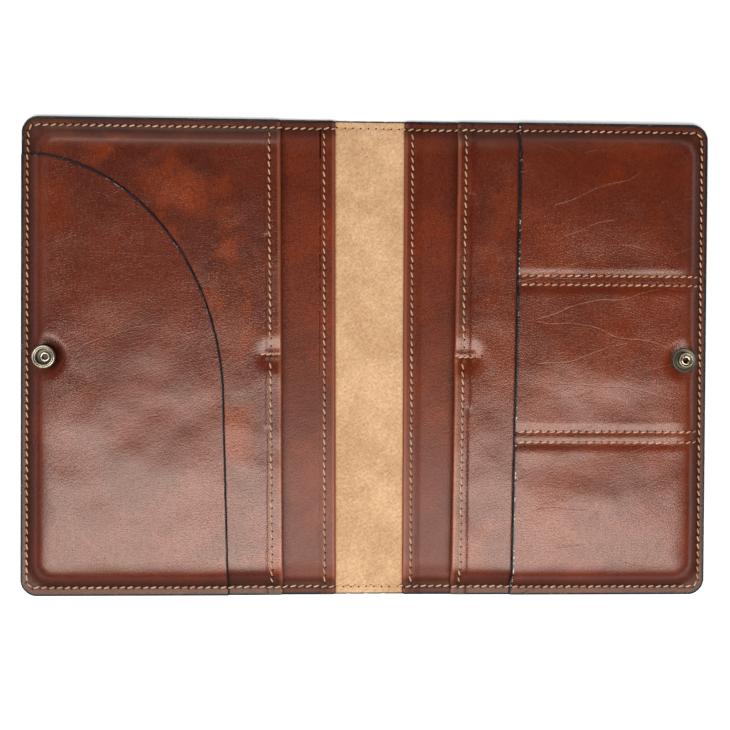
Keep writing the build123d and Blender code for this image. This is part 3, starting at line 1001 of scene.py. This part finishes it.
def document_pocket(leather):
    """The left top pocket, whose mouth runs straight and then as a quarter oval."""
    widest = (57.0 * MM, 57.0 * MM)
    obj = half_sheet("document_pocket", LEFT, widest, OVERLAY_FLANGE_TOP, 0.8 * MM)
    upper, lower = DOCUMENT_MOUTH
    top, bottom = DOCUMENT_MOUTH_SPAN
    lean = (upper - lower) / (top - bottom)
    cut(obj, everywhere, (-upper, top, 0), Vector((1, lean, 0)).normalized())
    steps = 44
    for step in range(1, steps + 1):
        angle = math.radians(90) * step / steps
        along = Vector((math.cos(angle), math.sin(angle), 0))
        point = Vector(
            (
                -HALF_WIDTH + (OVAL_HALF_WIDTH - PANEL_BEAD) * along.x,
                OVAL_CENTRE_Y + (OVAL_HALF_HEIGHT - PANEL_BEAD) * along.y,
                0,
            )
        )
        normal = Vector((along.x / OVAL_HALF_WIDTH, along.y / OVAL_HALF_HEIGHT, 0)).normalized()
        cut(obj, everywhere, point, normal)
    raise_pillow(obj, DOCUMENT_TOP - OVERLAY_FLANGE_TOP, CREASE_INSET)
    dome(obj, DOCUMENT_SWELLING, 0.5 * MM, 34 * MM)
    flatten_seat(obj, Vector((-SNAP_X, 0, SOCKET_SEAT)), SEAT_RADIUS)
    soften(obj, SETTLING_PASSES)
    work_the_surface(obj, OVERLAY_FLANGE_TOP)
    soften(obj, 2)
    bead = edge_bead(obj, everywhere, PANEL_BEAD, PANEL_THICKNESS / 2)
    return finish_panel(obj, bead, leather, LEFT, "document_pocket")


def card_panel(leather):
    """The right top panel, sewn down along two double rows into three card pockets."""
    obj = half_sheet("card_pocket_panel", RIGHT, CARD_MOUTH, OVERLAY_FLANGE_TOP, 0.8 * MM)
    raise_pillow(obj, CARD_TOP - OVERLAY_FLANGE_TOP, CREASE_INSET)
    for swelling in CARD_SWELLINGS:
        dome(obj, swelling, 0.6 * MM, 24 * MM)
    soften(obj, SETTLING_PASSES)
    for row in UPPER_CARD_ROWS + LOWER_CARD_ROWS:
        press(
            obj,
            lambda x, y, z: (np.abs(y - row) < ROW_HALF_WIDTH) & (outline_inset(x, y) > 8 * MM),
            -ROW_PRESS,
            ROW_REACH,
        )
    flatten_seat(obj, Vector((SNAP_X, 0, STUD_SEAT)), CARD_SEAT_RADIUS)
    work_the_surface(obj, OVERLAY_FLANGE_TOP)
    soften(obj, 2)
    bead = edge_bead(obj, everywhere, PANEL_BEAD, PANEL_THICKNESS / 2)
    return finish_panel(obj, bead, leather, RIGHT, "card_pocket_panel")


left_slip_grain = grain_leather(
    "left_slip_grain",
    (40, 11, 0),
    mottle=0.35,
    warmth=0.45,
    hem=(LEFT, LEFT_SLIP_MOUTH, LEFT_HEM_INSET),
    shine=0.5,
)
left_passport_grain = grain_leather(
    "left_passport_grain",
    (90, 35, 0),
    mottle=0.74,
    warmth=0.0,
    hem=(LEFT, LEFT_PASSPORT_MOUTH, LEFT_HEM_INSET),
)
document_grain = grain_leather(
    "document_grain",
    (15, 130, 0),
    mottle=0.26,
    warmth=0.22,
    creases=0.4,
    raw_mouth=from_oval_mouth,
    snap=SOCKET_SHADOW,
)
right_slip_grain = grain_leather(
    "right_slip_grain",
    (20, 71, 0),
    mottle=0.35,
    warmth=0.4,
    hem=(RIGHT, RIGHT_SLIP_MOUTH, RIGHT_HEM_INSET),
    shine=0.5,
)
right_passport_grain = grain_leather(
    "right_passport_grain",
    (50, 85, 0),
    mottle=0.40,
    warmth=0.3,
    hem=(RIGHT, RIGHT_PASSPORT_MOUTH, RIGHT_HEM_INSET),
)
card_grain = grain_leather(
    "card_grain",
    (70, 20, 0),
    mottle=0.34,
    warmth=0.5,
    creases=1.0,
    raw_mouth=from_card_mouth,
    snap=STUD_SHADOW,
)

left_panels = [
    slip_panel("left_slip_panel", LEFT, LEFT_SLIP_MOUTH, left_slip_grain),
    passport_panel(
        "left_passport_panel",
        LEFT,
        LEFT_PASSPORT_MOUTH,
        LEFT_DIVIDER_Y,
        LEFT_DIVIDER_LENGTH,
        SOCKET_SEAT - PASSPORT_SEAT_DROP,
        left_passport_grain,
    ),
    document_pocket(document_grain),
]
right_panels = [
    slip_panel("right_slip_panel", RIGHT, RIGHT_SLIP_MOUTH, right_slip_grain),
    passport_panel(
        "right_passport_panel",
        RIGHT,
        RIGHT_PASSPORT_MOUTH,
        RIGHT_DIVIDER_Y,
        RIGHT_DIVIDER_LENGTH,
        STUD_SEAT - PASSPORT_SEAT_DROP,
        right_passport_grain,
    ),
    card_panel(card_grain),
]


# ---- Sewing ------------------------------------------------------------------------------------


def one_stitch():
    """A short slanted stitch, thicker in the middle, with a flat dark disc at its end as painted shade
    for the needle hole.
    """
    bpy.ops.mesh.primitive_uv_sphere_add(segments=8, ring_count=6, radius=1)
    stitch = bpy.context.object
    bpy.ops.transform.rotate(value=math.radians(90), orient_axis="Y", center_override=(0, 0, 0))
    bpy.ops.transform.resize(value=(STITCH_LENGTH / 2, STITCH_WIDTH / 2, STITCH_HEIGHT / 2))
    bpy.ops.object.transform_apply(location=True, rotation=True, scale=True)
    press(stitch, lambda x, y, z: np.abs(x) > 0.3 * STITCH_LENGTH, -0.16 * MM)
    press(stitch, lambda x, y, z: np.abs(x) > 0.45 * STITCH_LENGTH, -0.16 * MM)
    paint(stitch, thread)
    smooth(stitch, 180)
    bpy.ops.mesh.primitive_circle_add(
        vertices=8, radius=0.38 * MM, fill_type="NGON", location=(STITCH_PITCH / 2, 0, -0.06 * MM)
    )
    hole = bpy.context.object
    paint(hole, needle_hole)
    return join("stitch", [stitch, hole])


stitch_pattern = one_stitch()


def surface(pieces, x, y):
    """Height of the topmost leather at a place, or None beside it."""
    heights = []
    for piece in pieces:
        struck, point, _, _ = piece.ray_cast(Vector((x, y, 0.1)), Vector((0, 0, -1)))
        if struck:
            heights.append(point.z)
    return max(heights) if heights else None


def walk(corners, pitch):
    """Places and headings at an even pitch along a line of corners."""
    lengths = [(b - a).length for a, b in zip(corners, corners[1:])]
    count = max(1, round(sum(lengths) / pitch))
    step = sum(lengths) / count
    places = []
    for number in range(count):
        left = step * (number + 0.5)
        leg = 0
        while left > lengths[leg] and leg < len(lengths) - 1:
            left -= lengths[leg]
            leg += 1
        heading = (corners[leg + 1] - corners[leg]).normalized()
        places.append((corners[leg] + heading * left, heading))
    return places


def sew(places, pieces, below=False):
    """Lay stitches along these places, on top of the leather or on the cover's underside."""
    made = []
    for place, heading in places:
        half = heading * STITCH_LENGTH * 0.45
        if below:
            heights = [0.0, 0.0, 0.0]
        else:
            heights = [
                surface(pieces, place.x + share * half.x, place.y + share * half.y)
                for share in (-1, 1, 0)
            ]
        if None in heights:
            continue
        first, second, middle = heights
        along = Vector((2 * half.x, 2 * half.y, second - first)).normalized()
        up = Vector((0, 0, -1 if below else 1))
        across = up.cross(along).normalized()
        up = along.cross(across)
        slant = STITCH_SLANT + math.radians(dice.uniform(-4, 4))
        turn = Matrix((along, across, up)).transposed() @ Matrix.Rotation(slant, 3, "Z")
        sunk = max(middle, (first + second) / 2) + up.z * 0.10 * MM
        copy = stitch_pattern.copy()
        copy.data = stitch_pattern.data.copy()
        spot = Vector((place.x, place.y, sunk)) + across * dice.uniform(-0.06, 0.06) * MM
        copy.matrix_world = Matrix.Translation(spot) @ turn.to_4x4()
        bpy.context.scene.collection.objects.link(copy)
        made.append(copy)
    return made


def thread_piece(name, stitches, body):
    """One row of stitches as a piece that stands for the thread node of its name."""
    obj = join(name, stitches)
    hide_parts(name)
    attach(obj, body)
    return obj


def seam_corners():
    """The sewn line all round, starting at the top of the fold."""
    radius = CORNER_RADIUS - SEAM_INSET
    far_x = HALF_WIDTH + SIDE_SEAM_SHIFT - CORNER_RADIUS
    far_y = HALF_HEIGHT - CORNER_RADIUS
    corners = [Vector((0, HALF_HEIGHT - SEAM_INSET, 0))]
    for quarter, (sign_x, sign_y) in enumerate(((1, 1), (1, -1), (-1, -1), (-1, 1))):
        for step in range(7):
            angle = math.radians(90 - 90 * quarter - 15 * step)
            offset = Vector((math.cos(angle), math.sin(angle), 0)) * radius
            corners.append(Vector((sign_x * far_x, sign_y * far_y, 0)) + offset)
    corners.append(corners[0])
    return corners


def straight(x_top, x_bottom, y_top, y_bottom):
    """A straight sewn line between two places."""
    return [Vector((x_top, y_top, 0)), Vector((x_bottom, y_bottom, 0))]


def hem_places(side, mouth, inset, gap_at=None):
    """Places of a hem's stitches, leaving out the pinched spot of a divider."""
    end = HALF_HEIGHT - SEAM_INSET - 1.5 * MM
    line = straight(
        side * (mouth_at(mouth, end) + inset), side * (mouth_at(mouth, -end) + inset), end, -end
    )
    places = walk(line, STITCH_PITCH)
    if gap_at is None:
        return places
    return [p for p in places if abs(p[0].y - gap_at) > DIVIDER_GAP]


def divider_places(side, mouth, y, length):
    """Places of the short row between two passports."""
    start = mouth_at(mouth, y) + 1.0 * MM
    line = straight(side * start, side * (start + length), y, y)
    return walk(line, STITCH_PITCH * 0.8)


everything = cover + left_panels + right_panels
seam = walk(seam_corners(), STITCH_PITCH)
for number in range(4):
    low_x, high_x = CUTS[number], CUTS[number + 1]
    mine = [p for p in seam if low_x <= p[0].x < high_x]
    stitches = sew(mine, everything) + sew(mine, everything, below=True)
    obj = join("seam_stitches_%d" % (number + 1), stitches)
    bend_piece(obj, number, SEAM_NODES[number])
for number, piece in enumerate(cover):
    bend_piece(piece, number, COVER_NODES[number])

left_rows = {
    "left_slip_hem_thread": hem_places(LEFT, LEFT_SLIP_MOUTH, LEFT_HEM_INSET),
    "left_passport_hem_thread": hem_places(
        LEFT, LEFT_PASSPORT_MOUTH, LEFT_HEM_INSET, LEFT_DIVIDER_Y
    ),
    "left_passport_divider_thread": divider_places(
        LEFT, LEFT_PASSPORT_MOUTH, LEFT_DIVIDER_Y, LEFT_DIVIDER_SEWN
    ),
}
right_rows = {
    "right_slip_hem_thread": hem_places(RIGHT, RIGHT_SLIP_MOUTH, RIGHT_HEM_INSET),
    "right_passport_hem_thread": hem_places(
        RIGHT, RIGHT_PASSPORT_MOUTH, RIGHT_HEM_INSET, RIGHT_DIVIDER_Y
    ),
    "right_passport_divider_thread": divider_places(
        RIGHT, RIGHT_PASSPORT_MOUTH, RIGHT_DIVIDER_Y, RIGHT_DIVIDER_SEWN
    ),
}
for name, places in left_rows.items():
    thread_piece(name, sew(places, left_panels), "left_side")
for name, places in right_rows.items():
    thread_piece(name, sew(places, right_panels), "right_side")
for name, rows in (
    ("upper_card_divider_thread", UPPER_CARD_ROWS),
    ("lower_card_divider_thread", LOWER_CARD_ROWS),
):
    stitches = []
    for row in rows:
        line = straight(mouth_at(CARD_MOUTH, row) + 1.2 * MM, HALF_WIDTH - SEAM_INSET, row, row)
        stitches += sew(walk(line, STITCH_PITCH), right_panels)
    thread_piece(name, stitches, "right_side")
bpy.data.objects.remove(stitch_pattern)


# ---- Press snap --------------------------------------------------------------------------------


def turned(name, profile, seat, material, body):
    """A round piece of metal, spun from half of its section."""
    bpy.ops.mesh.primitive_plane_add(size=MM, location=seat)
    obj = bpy.context.object
    bpy.ops.object.transform_apply(location=True, rotation=True, scale=True)
    bpy.ops.object.mode_set(mode="EDIT")
    bpy.ops.mesh.select_mode(type="VERT")
    bpy.ops.mesh.select_all(action="SELECT")
    bpy.ops.mesh.merge(type="CENTER")
    at = (0.0, 0.0)
    for index, point in enumerate(profile + profile[:1]):
        move = ((point[0] - at[0]) * MM, 0, (point[1] - at[1]) * MM)
        if index == 0:
            bpy.ops.transform.translate(value=move)
        else:
            bpy.ops.mesh.extrude_vertices_move(TRANSFORM_OT_translate={"value": move})
        at = point
    bpy.ops.mesh.select_all(action="SELECT")
    bpy.ops.mesh.remove_doubles(threshold=0.001 * MM)
    bpy.ops.mesh.select_all(action="SELECT")
    bpy.ops.mesh.spin(steps=64, angle=math.radians(360), center=seat, axis=(0, 0, 1))
    bpy.ops.mesh.select_all(action="SELECT")
    bpy.ops.mesh.remove_doubles(threshold=0.005 * MM)
    bpy.ops.mesh.normals_make_consistent(inside=False)
    leave_edit()
    apply_modifier(
        obj,
        "BEVEL",
        width=0.07 * MM,
        segments=2,
        limit_method="ANGLE",
        angle_limit=math.radians(35),
    )
    obj.name = name
    paint(obj, material)
    smooth(obj, 35)
    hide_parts(name)
    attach(obj, body)
    return obj


# Half sections in millimetres, each as distance from the axis and height over the seat
SOCKET_PROFILE = [
    (1.65, 0.0),
    (3.6, 0.0),
    (3.7, 0.5),
    (4.4, 0.9),
    (4.8, 1.4),
    (4.85, 2.6),
    (4.75, 3.2),
    (4.55, 3.5),
    (4.3, 3.58),
    (4.05, 3.5),
    (3.98, 2.9),
    (3.8, 3.4),
    (3.6, 3.45),
    (3.42, 3.35),
    (3.35, 3.0),
    (4.13, 3.0),
    (4.13, 2.2),
    (3.35, 2.2),
    (3.3, 0.8),
    (3.1, 0.55),
    (1.65, 0.5),
]
SOCKET_POST_PROFILE = [
    (1.1, -1.2),
    (3.6, -1.2),
    (3.6, -0.8),
    (1.5, -0.8),
    (1.5, 0.5),
    (2.1, 0.5),
    (2.15, 0.72),
    (1.95, 0.92),
    (1.6, 1.0),
    (1.25, 0.9),
    (1.1, 0.7),
]
STUD_PROFILE = [
    (1.65, 0.0),
    (4.9, 0.0),
    (5.0, 0.2),
    (4.95, 0.5),
    (4.7, 0.66),
    (4.4, 0.6),
    (3.7, 0.34),
    (3.1, 0.32),
    (2.87, 0.5),
    (2.85, 1.8),
    (3.05, 2.1),
    (3.1, 2.6),
    (3.02, 3.0),
    (2.8, 3.2),
    (2.6, 3.18),
    (2.45, 3.0),
    (2.42, 2.4),
    (1.65, 2.4),
]
STUD_POST_PROFILE = [
    (1.1, -1.2),
    (3.6, -1.2),
    (3.6, -0.8),
    (1.5, -0.8),
    (1.5, 2.4),
    (2.0, 2.4),
    (2.05, 2.62),
    (1.9, 2.82),
    (1.6, 2.9),
    (1.25, 2.8),
    (1.1, 2.6),
]
socket_seat = Vector((-SNAP_X, 0, SOCKET_SEAT))
stud_seat = Vector((SNAP_X, 0, STUD_SEAT))
turned("snap_socket_body", SOCKET_PROFILE, socket_seat, antique_brass, "left_side")
turned("snap_socket_post", SOCKET_POST_PROFILE, socket_seat, socket_post, "left_side")
turned("snap_stud_body", STUD_PROFILE, stud_seat, dark_bronze, "right_side")
turned("snap_stud_post", STUD_POST_PROFILE, stud_seat, stud_post, "right_side")
paint(frame["nodes"]["snap_socket_spring"], spring_steel)


# ---- Table, light and camera -------------------------------------------------------------------


def soft_light(name, place, aim, size, power):
    """A rectangular studio light, turned to face a place."""
    bpy.ops.object.light_add(type="AREA", location=place)
    light = bpy.context.object
    light.name = name
    light.data.shape = "RECTANGLE"
    light.data.size, light.data.size_y = size
    light.data.energy = power
    light.rotation_euler = (Vector(aim) - Vector(place)).to_track_quat("-Z", "Y").to_euler()


bpy.ops.mesh.primitive_plane_add(size=6, location=(0, 0, -0.35 * MM))
floor = bpy.context.object
floor.name = "table"
white_constants = {
    "Specular IOR Level": 0.0,
    "Emission Color": (1, 1, 1, 1),
    "Emission Strength": 0.22,
}
white = Finish("white_table", white_constants)
white.colour((0.85, 0.85, 0.85, 1))
white.rough(0.9)
paint(floor, white.material)

soft_light("main_light", (-0.01, -0.228, 0.62), (0.0, -0.04, 0.0), (0.95, 0.28), 7.5)
soft_light("back_light", (-0.25, 0.80, 0.60), (0.0, 0.0, 0.0), (0.7, 0.4), 3.7)

world = bpy.data.worlds.new("studio")
world.use_nodes = True
world.node_tree.nodes["Background"].inputs["Color"].default_value = (1, 1, 1, 1)
world.node_tree.nodes["Background"].inputs["Strength"].default_value = 0.04
bpy.context.scene.world = world
bpy.context.scene.view_settings.view_transform = "Standard"

bpy.ops.object.camera_add(
    location=(-0.0183, 0.0032, 0.450),
    rotation=(math.radians(-0.78), math.radians(-2.21), math.radians(0.34)),
)
camera = bpy.context.object
camera.data.lens = 52.1
camera.data.sensor_width = 36
bpy.context.scene.camera = camera
